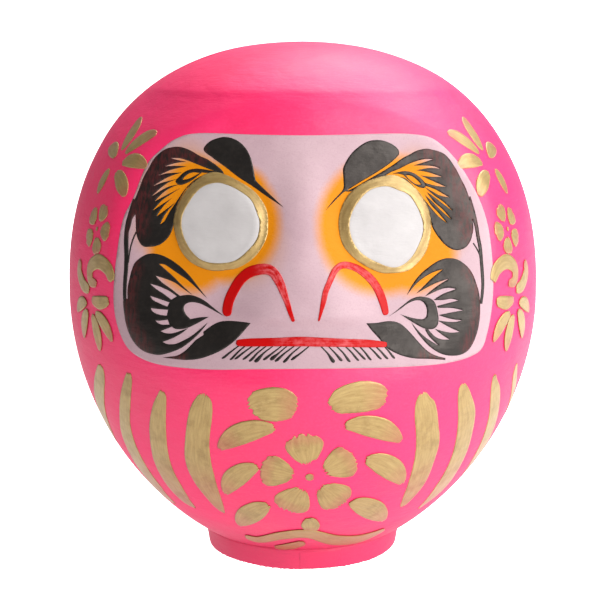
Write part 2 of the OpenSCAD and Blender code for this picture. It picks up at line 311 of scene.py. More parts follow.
def filled(add, cut, cell):
    """Flat points and triangles that fill the outlines in add less those in cut.

    Inner points stand a cell apart in staggered rows, clear of the outlines.
    """
    row_gap, clear, block = 0.87 * cell, 0.35 * cell, 2000
    outlines = [np.asarray(o, float) for o in [*add, *cut]]
    (x0, z0), (x1, z1) = np.vstack(add).min(0), np.vstack(add).max(0)
    inner = np.array([(x + (i % 2) * cell / 2, z) for i, z in enumerate(np.arange(z0, z1, row_gap))
                      for x in np.arange(x0, x1, cell)])

    def inside(points):
        keep = np.zeros(len(points), bool)
        for outline in outlines[:len(add)]:
            keep |= winding(points, outline)
        for outline in outlines[len(add):]:
            keep &= ~winding(points, outline)
        return keep

    border = np.vstack(outlines)
    inner = inner[inside(inner)]
    apart = np.ones(len(inner), bool)
    for start in range(0, len(inner), block):
        some = inner[start:start + block]
        gap = np.hypot(some[:, None, 0] - border[None, :, 0], some[:, None, 1] - border[None, :, 1])
        apart[start:start + block] = gap.min(1) > clear
    vertices, edges = [], []
    for outline in outlines:
        first, n = len(vertices), len(outline)
        vertices += [Vector(p) for p in outline]
        edges += [(first + i, first + (i + 1) % n) for i in range(n)]
    vertices += [Vector(p) for p in inner[apart]]
    points, _, triangles, *_ = delaunay_2d_cdt(vertices, edges, [], 0, 1e-5)
    flat = np.array([tuple(p) for p in points])
    triangles = np.array([t for t in triangles if len(t) == 3])
    triangles = triangles[inside(flat[triangles].mean(1))]
    used, renumbered = np.unique(triangles, return_inverse=True)
    flat, triangles = flat[used], renumbered.reshape(-1, 3)
    corner = flat[triangles]
    area = ((corner[:, 1, 0] - corner[:, 0, 0]) * (corner[:, 2, 1] - corner[:, 0, 1])
            - (corner[:, 2, 0] - corner[:, 0, 0]) * (corner[:, 1, 1] - corner[:, 0, 1]))
    return flat, np.where(area[:, None] > 0, triangles, triangles[:, ::-1]).tolist()


def rim_edges(triangles):
    """Edges that only one triangle has, each in that triangle's direction."""
    edges = dict.fromkeys((t[i], t[(i + 1) % 3]) for t in triangles for i in range(3))
    return [(a, b) for a, b in edges if (b, a) not in edges]


def raised(flat, on_rim, place, lift, coat, rim_share):
    """Points of the top of a coat, which is lower at its rim, and then those of its underside."""
    base, normal = place(flat)
    high = np.where(on_rim, lift + coat * rim_share, lift + coat)[:, None]
    return np.vstack([base + normal * high, base + normal * (lift - SUNK)])


def film(name, add, cut, place, lift, material, cell=1.0, coat=COAT, rim_share=0.45, values=None):
    """A coat of paint: the outlines in add less those in cut, laid on the body as a thin solid."""
    flat, triangles = filled(add, cut, cell)
    count = len(flat)
    rim = rim_edges(triangles)
    on_rim = np.zeros(count, bool)
    on_rim[[a for a, _ in rim]] = True
    faces = triangles + [(c + count, b + count, a + count) for a, b, c in triangles]
    faces += [(b, a, a + count, b + count) for a, b in rim]
    obj = new_piece(name, raised(flat, on_rim, place, lift, coat, rim_share), faces, material)
    flat_sides(obj, count)
    if values:
        set_values(obj, **{k: np.tile(v, 2) for k, v in values(flat).items()})
    return obj


def stroke_grid(points, across, rng, step, ragged):
    """Rows of flat points along a stroke, with each bristle starting and stopping on its own."""
    lanes = len(across)
    curve = catmull(points, 10, False)
    seg = np.linalg.norm(np.diff(curve[:, :2], axis=0), axis=1)
    length = np.concatenate([[0], np.cumsum(seg)])
    total = length[-1]
    rows = max(int(total / step), 6)
    head = [rng.uniform(0, ragged[0]) for _ in range(lanes)]
    tail = [rng.uniform(0, ragged[1]) for _ in range(lanes)]
    edge = np.array([rng.uniform(-1, 1) for _ in range(rows)])
    other = np.array([rng.uniform(-1, 1) for _ in range(rows)])
    flat = np.zeros((rows, lanes, 2))
    for j, lane in enumerate(across):
        round_off = 0.42 * (1 - math.sqrt(max(0.0, 1 - min(abs(lane), 1) ** 2.6)))
        first = min(head[j] + round_off * points[0][2], total * 0.4)
        last = total - min(tail[j] + round_off * points[-1][2], total * 0.4)
        s = np.linspace(first, last, rows)
        x, z, w = (np.interp(s, length, curve[:, k]) for k in range(3))
        ahead, behind = np.clip(s + 0.5, 0, total), np.clip(s - 0.5, 0, total)
        dx = np.interp(ahead, length, curve[:, 0]) - np.interp(behind, length, curve[:, 0])
        dz = np.interp(ahead, length, curve[:, 1]) - np.interp(behind, length, curve[:, 1])
        norm = np.maximum(np.hypot(dx, dz), 1e-6)
        rough = (edge if lane < 0 else other) * 0.012 * abs(lane) ** 6
        half = np.maximum(w, 0.1) / 2 * (lane + rough * np.sign(lane))
        flat[:, j, 0] = x - dz / norm * half
        flat[:, j, 1] = z + dx / norm * half
    return flat, total


def brushed(name, points, place, lift, material, seed, lanes, ragged, step=0.8, coat=COAT):
    """One stroke of a loaded brush through (x, z, width), with bristle marks at both ends."""
    across = np.linspace(-1, 1, lanes)
    flat, total = stroke_grid(points, across, random.Random(seed), step, ragged)
    rows = len(flat)
    n = rows * lanes
    rim = np.zeros((rows, lanes), bool)
    rim[[0, -1], :] = True
    rim[:, [0, -1]] = True
    solid = raised(flat.reshape(-1, 2), rim.ravel(), place, lift, coat, 0.75)
    faces = slab_faces(rows, lanes)
    if np.cross(solid[1] - solid[0], solid[lanes] - solid[0]) @ (solid[0] - solid[n]) < 0:
        faces = [f[::-1] for f in faces]
    obj = new_piece(name, solid, faces, material)
    flat_sides(obj, n)
    share = np.repeat(np.linspace(0, 1, rows), lanes)
    set_values(obj, along=np.tile(share * total, 2), share=np.tile(share, 2),
               across=np.tile(across, 2 * rows) * points[len(points) // 2][2] / 2,
               seed=np.full(2 * n, seed % 17))
    return obj


def joined(objects, name):
    """Several meshes of one material as one piece."""
    with bpy.context.temp_override(active_object=objects[0], selected_editable_objects=objects):
        if len(objects) > 1:
            bpy.ops.object.join()
    objects[0].name = name
    objects[0].data.name = name
    return objects[0]


# ---------------------------------------------------------------- materials

def linear(r, g, b):
    """A colour from 0 to 255 as the eye sees it, to linear light."""
    out = []
    for c in (r, g, b):
        c /= 255
        out.append(c / 12.92 if c <= 0.04045 else ((c + 0.055) / 1.055) ** 2.4)
    return (*out, 1.0)


class Shader:
    """Short calls for building one node material."""

    def __init__(self, name):
        self.material = bpy.data.materials.new(name)
        self.material.use_nodes = True
        self.tree = self.material.node_tree
        self.main = self.tree.nodes["Principled BSDF"]

    def set(self, **numbers):
        for socket, value in numbers.items():
            self.main.inputs[socket.replace("_", " ")].default_value = value

    def node(self, kind, links=None, **settings):
        n = self.tree.nodes.new("ShaderNode" + kind)
        for key, value in settings.items():
            setattr(n, key, value)
        for socket, value in (links or {}).items():
            self.feed(n.inputs[socket], value)
        return n

    def feed(self, socket, value):
        if isinstance(value, bpy.types.NodeSocket):
            self.tree.links.new(value, socket)
        else:
            socket.default_value = value

    def place(self, scale=(1, 1, 1)):
        where = self.node("TexCoord").outputs["Object"]
        return self.node("Mapping", {"Vector": where, "Scale": scale}).outputs[0]

    def height(self):
        where = self.node("TexCoord").outputs["Object"]
        return self.node("SeparateXYZ", {"Vector": where}).outputs["Z"]

    def lane(self, along, across):
        """A place in a brush stroke, for marks drawn out along it."""
        parts = {"X": self.math("MULTIPLY", self.value("along"), along),
                 "Y": self.math("MULTIPLY", self.value("across"), across),
                 "Z": self.value("seed")}
        return self.node("CombineXYZ", parts).outputs[0]

    def noise(self, scale, detail=2.0, rough=0.5, where=None, distortion=0.0):
        links = {"Scale": scale, "Detail": detail, "Roughness": rough, "Distortion": distortion,
                 "Vector": where if where is not None else self.place()}
        return self.node("TexNoise", links).outputs["Fac"]

    def value(self, name):
        return self.node("Attribute", attribute_name=name).outputs["Fac"]

    def ramp(self, value, low, high, out_low=0.0, out_high=1.0):
        links = {"Value": value, "From Min": low, "From Max": high,
                 "To Min": out_low, "To Max": out_high}
        return self.node("MapRange", links).outputs["Result"]

    def math(self, operation, a, b):
        n = self.node("Math", operation=operation)
        self.feed(n.inputs[0], a)
        self.feed(n.inputs[1], b)
        return n.outputs[0]

    def mix(self, factor, a, b):
        n = self.node("Mix", data_type="RGBA")
        self.feed(n.inputs["Factor"], factor)
        self.feed(n.inputs[6], a)
        self.feed(n.inputs[7], b)
        return n.outputs[2]

    def bump(self, height, distance, normal=None):
        links = {"Height": height, "Distance": distance, "Strength": 1.0}
        if normal is not None:
            links["Normal"] = normal
        return self.node("Bump", links).outputs["Normal"]

    def done(self, color, roughness, normal=None):
        self.feed(self.main.inputs["Base Color"], color)
        self.feed(self.main.inputs["Roughness"], roughness)
        if normal is not None:
            self.feed(self.main.inputs["Normal"], normal)
        return self.material


def paper_bump(s, fibre=0.00005, grain=0.00003):
    """Fine fibres that run round the body, and the tooth of the paint."""
    fibres = s.noise(1.0, 3, 0.6, s.place((160, 160, 1500)), 0.3)
    tooth = s.noise(1700, 2, 0.6)
    lumps = s.noise(1.0, 3, 0.5, s.place((90, 90, 210)), 0.2)
    first = s.bump(lumps, 0.0005)
    second = s.bump(fibres, fibre, normal=first)
    return s.bump(tooth, grain, normal=second)


def make_pink():
    s = Shader("pink_paint")
    cloud = s.noise(26, 3, 0.55)
    speck = s.noise(900, 2, 0.6)
    color = s.mix(s.ramp(cloud, 0.35, 0.7), linear(238, 6, 96), linear(243, 14, 104))
    color = s.mix(s.ramp(speck, 0.45, 0.8, 0.0, 0.25), color, linear(246, 60, 126))
    # darker, deeper pink towards the foot: painted shade, because little light reaches the foot from
    # below
    color = s.mix(s.ramp(s.height(), 0.016, 0.03, 0.75, 0.0), color, linear(214, 0, 84))
    s.set(Specular_IOR_Level=0.95, IOR=1.55)
    return s.done(color, s.ramp(cloud, 0.3, 0.7, 0.46, 0.58), paper_bump(s, 0.00011, 0.00004))


def make_face():
    s = Shader("face_paint")
    s.set(Specular_IOR_Level=0.3)
    spray = s.value("airbrush")
    speck = s.noise(1500, 1, 0.5)
    soft = s.math("ADD", spray, s.ramp(speck, 0.2, 0.8, -0.06, 0.06))
    blush = s.value("blush")
    base = s.mix(s.ramp(s.noise(45, 2, 0.5), 0.3, 0.7), linear(185, 156, 163), linear(193, 165, 171))
    base = s.mix(blush, base, linear(200, 142, 92))
    base = s.mix(s.ramp(speck, 0.5, 0.75, 0, 0.25), base, linear(168, 136, 146))
    color = s.mix(s.ramp(soft, 0.04, 0.96), base, linear(214, 134, 0))
    return s.done(color, s.ramp(speck, 0.2, 0.8, 0.52, 0.62), paper_bump(s, 0.000015, 0.00004))


def make_white():
    s = Shader("eye_paint")
    cloud = s.noise(90, 3, 0.55)
    color = s.mix(s.ramp(cloud, 0.3, 0.7), linear(184, 179, 178), linear(194, 189, 188))
    return s.done(color, s.ramp(cloud, 0.3, 0.7, 0.5, 0.6), paper_bump(s, 0.00003, 0.00002))


def make_gold():
    s = Shader("gold_paint")
    streaks = s.noise(1.0, 3, 0.6, s.lane(0.12, 0.9))
    flakes = s.noise(2600, 2, 0.7)
    cloud = s.noise(130, 4, 0.65)
    color = s.mix(s.ramp(streaks, 0.3, 0.72), linear(166, 137, 82), linear(190, 162, 106))
    color = s.mix(s.ramp(cloud, 0.5, 0.75, 0, 0.55), color, linear(134, 104, 52))
    color = s.mix(s.ramp(flakes, 0.62, 0.8, 0, 0.35), color, linear(236, 216, 172))
    late = s.ramp(s.value("share"), 0.55, 1.05, 0, 0.55)
    thin = s.math("MULTIPLY", late, s.ramp(cloud, 0.3, 0.6, 0.5, 1))
    color = s.mix(thin, color, linear(190, 84, 86))
    # darker, browner gold towards the foot: painted shade low on the body, as on the pink
    color = s.mix(s.ramp(s.height(), 0.022, 0.03, 0.55, 0.0), color, linear(176, 98, 48))
    s.set(Metallic=0.62, Specular_IOR_Level=0.8, Coat_Weight=0.75, Coat_Roughness=0.42)
    rough = s.ramp(cloud, 0.3, 0.7, 0.4, 0.54)
    normal = s.bump(flakes, 0.00003, normal=s.bump(streaks, 0.00002, normal=paper_bump(s)))
    return s.done(color, rough, normal)


def make_black():
    s = Shader("black_paint")
    cloud = s.noise(110, 4, 0.65)
    grain = s.noise(1.0, 3, 0.6, s.place((900, 900, 160)), 0.4)
    rust = s.math("MULTIPLY", s.value("rust"), s.ramp(grain, 0.36, 0.6))
    color = s.mix(rust, linear(9, 7, 7), linear(74, 16, 22))
    color = s.mix(s.ramp(s.noise(500, 3, 0.6), 0.45, 0.75, 0, 0.4), color, linear(40, 33, 29))
    s.set(Specular_IOR_Level=0.7, Specular_Tint=(1.0, 0.9, 0.84, 1))
    rough = s.ramp(s.math("ADD", cloud, s.math("MULTIPLY", grain, 0.4)), 0.5, 0.85, 0.3, 0.52)
    return s.done(color, rough, paper_bump(s, 0.00005, 0.00004))


def make_red():
    s = Shader("red_paint")
    wear = s.math("ADD", s.noise(1.0, 3, 0.6, s.lane(0.15, 1.1)), s.noise(420, 4, 0.7))
    dry = s.math("MULTIPLY", s.value("dry"), s.ramp(wear, 0.86, 1.22))
    color = s.mix(dry, linear(186, 0, 1), linear(214, 112, 116))
    s.set(Specular_IOR_Level=0.3)
    return s.done(color, s.ramp(s.noise(300, 2, 0.5), 0.3, 0.7, 0.32, 0.45),
                  paper_bump(s, 0.00004, 0.00003))


def make_clay():
    s = Shader("clay")
    cloud = s.noise(55, 4, 0.65)
    grit = s.noise(900, 3, 0.7)
    color = s.mix(s.ramp(cloud, 0.3, 0.7), linear(150, 112, 80), linear(190, 152, 114))
    color = s.mix(s.ramp(grit, 0.6, 0.8, 0, 0.6), color, linear(110, 84, 62))
    normal = s.bump(grit, 0.0003, normal=s.bump(cloud, 0.0008))
    return s.done(color, s.ramp(grit, 0.3, 0.7, 0.85, 0.95), normal)


def make_glue():
    s = Shader("glue")
    cloud = s.noise(150, 3, 0.6)
    color = s.mix(s.ramp(cloud, 0.3, 0.7), linear(176, 130, 66), linear(206, 166, 96))
    s.set(Coat_Weight=0.3, Coat_Roughness=0.2)
    return s.done(color, s.ramp(cloud, 0.3, 0.7, 0.25, 0.4), s.bump(cloud, 0.0004))


def make_floor():
    """Plain white to look at; the light it throws back is dim on the left and strong on the right."""
    s = Shader("studio_white")
    cloud = s.noise(3, 2, 0.5)
    where = s.node("TexCoord").outputs["Object"]
    side = s.node("SeparateXYZ", {"Vector": where}).outputs["X"]
    seen = s.node("LightPath").outputs["Is Camera Ray"]
    glow = s.math("ADD", s.ramp(side, -0.5, 0.5, 0.42, 1.15), seen)
    s.feed(s.main.inputs["Emission Strength"], glow)
    color = s.mix(s.ramp(cloud, 0.3, 0.7), linear(140, 140, 140), linear(150, 150, 150))
    s.set(Specular_IOR_Level=0.1, Emission_Color=(1, 1, 1, 1))
    return s.done(color, s.ramp(cloud, 0.3, 0.7, 0.85, 0.95))


PINK, FACE, WHITE, GOLD = make_pink(), make_face(), make_white(), make_gold()
BLACK, RED, CLAY, GLUE = make_black(), make_red(), make_clay(), make_glue()


# ---------------------------------------------------------------- shell

def shell_half(name, node, first, last, columns, row_step):
    """One moulded half of the body with its real wall, with finer rows at the lip."""
    back = first > 0
    lip_low, lip_high = 118, 134
    low_rows = np.concatenate([np.arange(FOOT_TOP, lip_low, row_step),
                               np.arange(lip_low, lip_high, row_step / 2),
                               np.arange(lip_high, RIDGE_Z, row_step)])
    dome = RIDGE_Z + (CROWN - RIDGE_Z) * np.sin(np.linspace(0, math.pi / 2, 34)[:-1])
    rows = np.concatenate([low_rows, dome])
    angles = np.radians(np.linspace(first, last, columns))
    a, z = np.meshgrid(angles, rows)
    points = surface_point(a, z, back).reshape(-1, 3)
    crown = len(points)
    faces = grid_faces(len(rows), columns)
    faces += [(crown - columns + j, crown - columns + j + 1, crown) for j in range(columns - 1)]
    obj = new_piece(name, np.vstack([points, [[0, 0, CROWN]]]), faces, PINK)
    wall = obj.modifiers.new("wall", "SOLIDIFY")
    wall.thickness = WALL * MM
    wall.offset = -1
    finish_piece(obj, node)


shell_half("shell_front", "front_shell", -90, 90, 201, 1.4)
shell_half("shell_back", "back_shell", 90, 270, 101, 2.8)


def to_body(points):
    """Moves points along rays from the middle of the body onto its surface."""
    centre = np.array([0, 0, BELLY_Z])
    way = points - centre
    low, high = np.full(len(way), 0.6), np.full(len(way), 1.5)
    for _ in range(28):
        mid = (low + high) / 2
        p = centre + way * mid[:, None]
        z = np.clip(p[:, 2], 0, CROWN)
        inside = (np.hypot(p[:, 0], p[:, 1]) < body_radius(z)) & (p[:, 2] < CROWN)
        low, high = np.where(inside, mid, low), np.where(inside, high, mid)
    return centre + way * low[:, None]


def seam_strip():
    """Torn paper strip over the join of the halves, from the foot over the crown and down."""
    rng = random.Random(3)
    half_w = node_box("seam_strip")[1][1] - 0.6
    z_side = np.concatenate([np.arange(FOOT_TOP + 0.2, RIDGE_Z, 2.0),
                             RIDGE_Z + (CROWN - RIDGE_Z) * np.sin(np.linspace(0, math.pi / 2, 22))])
    r_side = body_radius(z_side)
    run = np.vstack([np.stack([-r_side, z_side], -1), np.stack([r_side, z_side], -1)[-2::-1]])
    rows = len(run)
    torn = [np.array([rng.uniform(-0.5, 0.3) for _ in range(rows)]) for _ in range(2)]
    lanes = np.array([-1, -0.9, -0.6, -0.2, 0.2, 0.6, 0.9, 1.0])
    rise = np.array([-0.12, 0.14, 0.22, 0.26, 0.26, 0.22, 0.14, -0.12])
    points = np.zeros((rows, len(lanes), 3))
    for j, lane in enumerate(lanes):
        width = half_w + torn[0 if lane < 0 else 1] * abs(lane)
        points[:, j] = np.stack([run[:, 0], width * lane, run[:, 1]], -1)
    flat = to_body(points.reshape(-1, 3))
    out = flat - np.array([0, 0, BELLY_Z])
    out /= np.linalg.norm(out, axis=1, keepdims=True)
    bump = undulation(flat[:, 0], flat[:, 1], flat[:, 2]) * np.clip(
        np.hypot(flat[:, 0], flat[:, 1]) / 20, 0, 1)
    top = flat + out * (np.tile(rise, rows) + bump)[:, None]
    bottom = flat - out * 0.3
    obj = new_piece("seam_paper", np.vstack([top, bottom]), slab_faces(rows, len(lanes)), PINK)
    finish_piece(obj, "seam_strip")


seam_strip()


# ---------------------------------------------------------------- foot

# radius of the foot at the table and where it meets the shell, without its paper
BASE_R = 44.5
NECK_R = 46.3


def lathe(name, outline, material, uneven):
    """A closed outline of (radius, z) turned round the axis, a little uneven."""
    segments = 144
    rng = random.Random(1)
    waves = [(k, rng.uniform(0, 6.28), rng.uniform(0.3, 1) / k ** 0.7) for k in range(1, 12)]
    outline = np.asarray(outline, float)
    count = len(outline)
    points = []
    for i in range(segments):
        t = 2 * math.pi * i / segments
        for k, (r, z) in enumerate(outline):
            shift = uneven * sum(s * math.sin(w * t + f + 0.7 * k) for w, f, s in waves)
            points.append(((r + shift) * math.sin(t), -(r + shift) * math.cos(t), z))
    faces = []
    for i in range(segments):
        j = (i + 1) % segments
        for k in range(count):
            m = (k + 1) % count
            faces.append((i * count + k, j * count + k, j * count + m, i * count + m))
    return new_piece(name, points, faces, material)


def clay_weight():
    """The foot, rounded at the table, its plug inside the shell, and the stick hole up through it."""
    hole = 8.0
    top = node_box("clay_base")[1][2]
    outline = [(hole + 0.9, 0), (hole + 5, 0), (24, 0), (BASE_R - 9, 0), (BASE_R - 2.2, 0),
               (BASE_R - 0.8, 0.4), (BASE_R - 0.2, 1.3), (BASE_R, 3), (45.5, 7), (46.0, 10.2),
               (41.4, 10.5), (41.3, 14), (38.5, 18), (31, 21.5), (20, top - 1), (hole + 6, top),
               (hole + 1, top), (hole, top - 0.8), (hole, 14), (hole, 6), (hole, 0.9)]
    obj = lathe("clay_weight", outline, CLAY, 0.05)
    finish_piece(obj, "clay_base")


def foot_radius(z):
    return BASE_R + (NECK_R - BASE_R) * np.clip(z / FOOT_TOP, 0, 1)


def foot_band(name, first, last, lift, low, high):
    """A strip of paper round the foot between two angles, with soft, slightly jagged edges.

    A strip that doesn't go all the way round comes out of the one under it over its first degrees.
    """
    seed, depth = 5, 0.25
    rng = random.Random(seed)
    count = max(int(abs(last - first)), 8)
    whole = abs(last - first) >= 360
    levels = [low, low + 0.35, low + 1.2, (low + high) / 2, high - 1.5, high - 0.5, high]
    rise = [0.1, 0.55, 0.66, 0.62, 0.66, 0.62, 0.2]
    jag = [rng.uniform(-0.18, 0.18) for _ in range(count + 1)]
    outer, inner = [], []
    for i in range(count + (0 if whole else 1)):
        a = math.radians(first + (last - first) * i / count)
        wave = 0.10 * math.sin(3 * a + seed) + 0.06 * math.sin(11 * a + 2 * seed)
        share = 1.0 if whole else 0.8 + 0.2 * min(1, i / 5)
        for k, (z, up) in enumerate(zip(levels, rise)):
            z = max(z + (jag[i] + 0.15 * math.sin(7 * a) if k < 2 else 0), 0.25)
            for points, out in ((outer, up * share + wave), (inner, -depth)):
                r = foot_radius(z) + lift + out
                points.append((r * math.sin(a), -r * math.cos(a), z))
    w, n = len(levels), len(outer)
    rows = n // w
    faces = []
    for i in range(rows if whole else rows - 1):
        a, b = i * w, (i + 1) % rows * w
        for k in range(w - 1):
            faces.append((a + k, b + k, b + k + 1, a + k + 1))
            faces.append((n + a + k + 1, n + b + k + 1, n + b + k, n + a + k))
        faces.append((b, a, n + a, n + b))
        faces.append((a + w - 1, b + w - 1, n + b + w - 1, n + a + w - 1))
    if not whole:
        t = (rows - 1) * w
        for k in range(w - 1):
            faces.append((k, k + 1, n + k + 1, n + k))
            faces.append((t + k + 1, t + k, n + t + k, n + t + k + 1))
    obj = new_piece(name, outer + inner, faces, PINK)
    flat_sides(obj, n)
    return obj


clay_weight()
foot = joined([foot_band("foot_paper", 0, 360, 0.0, 0.7, FOOT_TOP + 0.35),
               foot_band("lap", -2, 22, 0.12, 0.9, FOOT_TOP - 0.4)], "foot_paper")
finish_piece(foot, "foot_wrap")
glue_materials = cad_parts["glue_ring"].data.materials
glue_materials.clear()
glue_materials.append(GLUE)


# ---------------------------------------------------------------- face

def airbrush(flat):
    """How strongly orange is sprayed at each point, and how much of it is only a haze."""
    x, z = flat[:, 0], flat[:, 1]
    left = [(-34, 166, 23.5, 4.5), (-46, 152, 14, 5.5), (-52, 163, 14, 5), (-44, 178, 13, 5),
            (-57, 152, 6, 5), (-24, 178, 9, 4)]
    right = [(34.4, 165, 27, 5), (46, 153, 15, 5.5), (52, 163, 14, 5), (44, 177, 13, 5),
             (57, 152, 6, 5), (20, 172, 11, 4)]
    spray = np.zeros(len(x))
    for cx, cz, r, fade in left + right:
        d = np.hypot(x - cx, z - cz)
        spray = np.maximum(spray, 1 - ease(d, r - fade * 0.5, r + fade))
    haze = np.zeros(len(x))
    for cx, cz, r, fade in [(-58, 178, 9, 8), (-48, 190, 6, 7), (-62, 160, 6, 7), (-25, 158, 14, 8),
                            (54, 180, 7, 7), (47, 188, 5, 7), (60, 158, 6, 6), (27, 158, 15, 8)]:
        d = np.hypot(x - cx, z - cz)
        haze = np.maximum(haze, 0.5 * (1 - ease(d, r - fade * 0.5, r + fade)))
    return {"airbrush": spray, "blush": haze}


panel_outline = blob([
    (0, 201.4), (20, 201.6), (36, 201.8), (46, 201.4), (54, 199.8), (60, 195.8), (65.5, 190),
    (70.5, 182.5), (75, 174), (78.5, 163.5), (80.2, 151), (80.8, 137.5), (80, 127), (78.3, 118.5),
    (76, 111.8), (71, 109), (61, 107.8), (42, 108), (20, 108.5), (0, 108.7), (-20, 108.2),
    (-35, 107.3), (-48, 107), (-63, 107.5), (-72.5, 110.8), (-77.3, 117.5), (-79.8, 127),
    (-79.8, 138), (-78.3, 151.5), (-75.8, 165.5), (-71.5, 174.5), (-66, 188), (-60, 194.5),
    (-53, 199.5), (-43.5, 201.8), (-22, 201.6)])
panel = film("face_field", [panel_outline], [], on_face, FACE_LIFT, FACE, cell=1.3, values=airbrush)
finish_piece(panel, "face_panel")


def eye(name, outer, inner, seed):
    """A white disc in a hand-painted gold ring between two uneven outlines."""
    outer, inner = blob(outer), blob(inner)
    cx, cz = outer.mean(0)
    under = (inner - (cx, cz)) * 1.05 + (cx, cz)
    white = film("eye_white_" + name, [under], [], on_face, DRAWN_LIFT, WHITE, cell=1.0, coat=0.06)
    finish_piece(white, "eye_white_" + name)

    def values(flat):
        t = np.arctan2(flat[:, 1] - cz, flat[:, 0] - cx)
        r = np.hypot(flat[:, 0] - cx, flat[:, 1] - cz)
        none = np.zeros(len(t))
        return {"along": (t + 3.2) * WHITE_R, "across": r - WHITE_R, "share": none, "seed": none + seed}

    ring = film("eye_ring_" + name, [outer], [inner], on_face, DRAWN_LIFT + 0.09, GOLD,
                cell=0.8, coat=0.08, rim_share=0.9, values=values)
    finish_piece(ring, "eye_ring_" + name)


eye("left",
    [(-34.4, 185.7), (-26, 182.1), (-19.4, 177.8), (-15, 171.6), (-14.1, 164.8), (-15, 159),
     (-19.4, 152.3), (-25.8, 147.9), (-31, 146.6), (-36.8, 146), (-42.6, 147.2), (-47.5, 149.8),
     (-51.2, 154.6), (-53.7, 163), (-53.4, 168), (-50.6, 175.3), (-45.6, 181.3), (-40, 185.2)],
    [(-36, 181.6), (-30.8, 180.7), (-26, 178.5), (-21.3, 174.9), (-18.9, 169.9), (-17.7, 165.4),
     (-18.8, 159.6), (-22.6, 154.7), (-28.1, 150.5), (-35.8, 149.3), (-42.2, 150.6), (-47, 155.1),
     (-49.9, 161.4), (-50.1, 167.4), (-47.2, 173.6), (-42.2, 179.4)], 21)
eye("right",
    [(36.5, 184.7), (42.3, 182.9), (47.9, 178.4), (52.1, 172), (53.8, 165), (53.2, 158),
     (50.9, 152.1), (45.9, 146.9), (42, 145.3), (36.8, 144.9), (32, 145.4), (25, 148.9),
     (19.6, 153.2), (16.3, 157.6), (14.8, 165), (16, 171.6), (19.6, 177.6), (26.6, 182.2)],
    [(34.5, 180.3), (39.7, 178.7), (44.6, 176.2), (48.4, 170.4), (50.3, 164), (49.3, 158.6),
     (45.5, 151.7), (41, 148.1), (36.6, 147.6), (31.1, 149.7), (25.7, 152.6), (21.6, 156.8),
     (19.4, 163), (19.9, 168.6), (22.9, 174.2), (28, 178.9)], 24)


def rust_near(points, reach):
    """Brown sheen where the black was brushed thin, near a curve."""
    curve = catmull(points, 8, False)

    def values(flat):
        d = np.hypot(flat[:, None, 0] - curve[None, :, 0], flat[:, None, 1] - curve[None, :, 1]).min(1)
        return {"rust": 1 - ease(d, reach * 0.2, reach)}
    return values


def ink(name, coats, rust):
    """Black paint on the face. Each coat is its outlines and the gaps left in them."""
    pieces = [film(name, add, cut, on_face, DRAWN_LIFT + 0.02 * i, BLACK, cell=0.8, values=rust)
              for i, (add, cut) in enumerate(coats)]
    finish_piece(joined(pieces, name), name)


def brow(name, middle, shapes, rust):
    """A head, an arch cut open by the gaps between its lashes, two thin lines, and a loop on top."""
    head, arch, gaps, loop, tear, line, fine = shapes
    eye_gap = circle(middle, EYE_Z, RING_R - 1.2)
    under = [blob(arch), blob(head), stroke_outline(line), stroke_outline(fine)]
    ink(name, [(under, [blob(gaps), eye_gap]), ([blob(loop)], [blob(tear), eye_gap])], rust)


head = [(-39.6, 197.8), (-36, 199.7), (-31.9, 200.4), (-27.7, 199.3), (-24.3, 196.8),
        (-21.8, 192.8), (-20.5, 188.5), (-19.6, 184), (-18.2, 181.6), (-7.7, 172.2, 1), (-14.5, 176.3),
        (-20.3, 180.2), (-26.4, 183.9), (-32, 188), (-37.4, 191.7), (-41.3, 194.8)]
arch = [(-33.2, 186.3), (-38.7, 190.5), (-42.9, 192.4), (-47.2, 194.7), (-51.5, 196),
        (-55.8, 195.6), (-59.3, 194), (-62.7, 190.8), (-64.9, 187), (-67, 183.3), (-69.1, 177.8),
        (-70.8, 173.7), (-72.5, 169.5), (-73.4, 165.3), (-73.1, 160.4, 1), (-72.2, 163.3),
        (-71.6, 165.8), (-70.3, 167.7, 1), (-70.1, 163.4), (-69.7, 159.3), (-68.4, 156.3),
        (-66.7, 154.7), (-64.1, 154.6), (-61.1, 155.1), (-58.5, 156.4), (-56, 158.9),
        (-54.6, 161.6), (-53.9, 164.3), (-53.3, 168.4), (-52.3, 172.1), (-51, 175), (-49.3, 177.7),
        (-47.2, 180), (-44.6, 182.1), (-40.8, 182.6), (-33.6, 182.8)]
gaps = [(-34.9, 185.6, 1), (-38.7, 187), (-42.9, 188.5), (-47.2, 190.1), (-51.5, 191.3),
        (-55.4, 191.2, 1), (-52.3, 190.5), (-48.7, 189.9, 1), (-53.2, 189.3), (-58.1, 187.8, 1),
        (-53.2, 188.1), (-48.5, 188, 1), (-53.2, 187), (-56.6, 185.9), (-60.7, 183.8, 1),
        (-57.1, 184.9), (-50.6, 185.4, 1), (-54.5, 184.2), (-58.3, 182.4), (-62.9, 179.5, 1),
        (-58.8, 181.1), (-52.7, 182.7, 1), (-56.6, 181), (-60, 178.5), (-63.5, 175.2, 1),
        (-59.2, 177.9), (-55.7, 179.6), (-51.7, 180.5, 1), (-55.3, 179), (-58.7, 176.8),
        (-62.2, 173.2, 1), (-57.9, 175.5), (-51.2, 179, 1), (-55.3, 176.3), (-59.1, 173.6),
        (-63, 169.3, 1), (-58.3, 172.5), (-51.9, 176.5, 1), (-55.3, 174.3), (-58.7, 170.9),
        (-61.2, 167.1, 1), (-57.4, 169.9), (-53.3, 173, 1), (-55.7, 170.4), (-57.8, 167.6),
        (-59.7, 163.8, 1), (-57.8, 165.4), (-55.7, 169.1), (-53.5, 172.3), (-51.4, 175.4),
        (-48.9, 178.9), (-45.9, 181.9), (-42.9, 183.8), (-39.9, 185)]
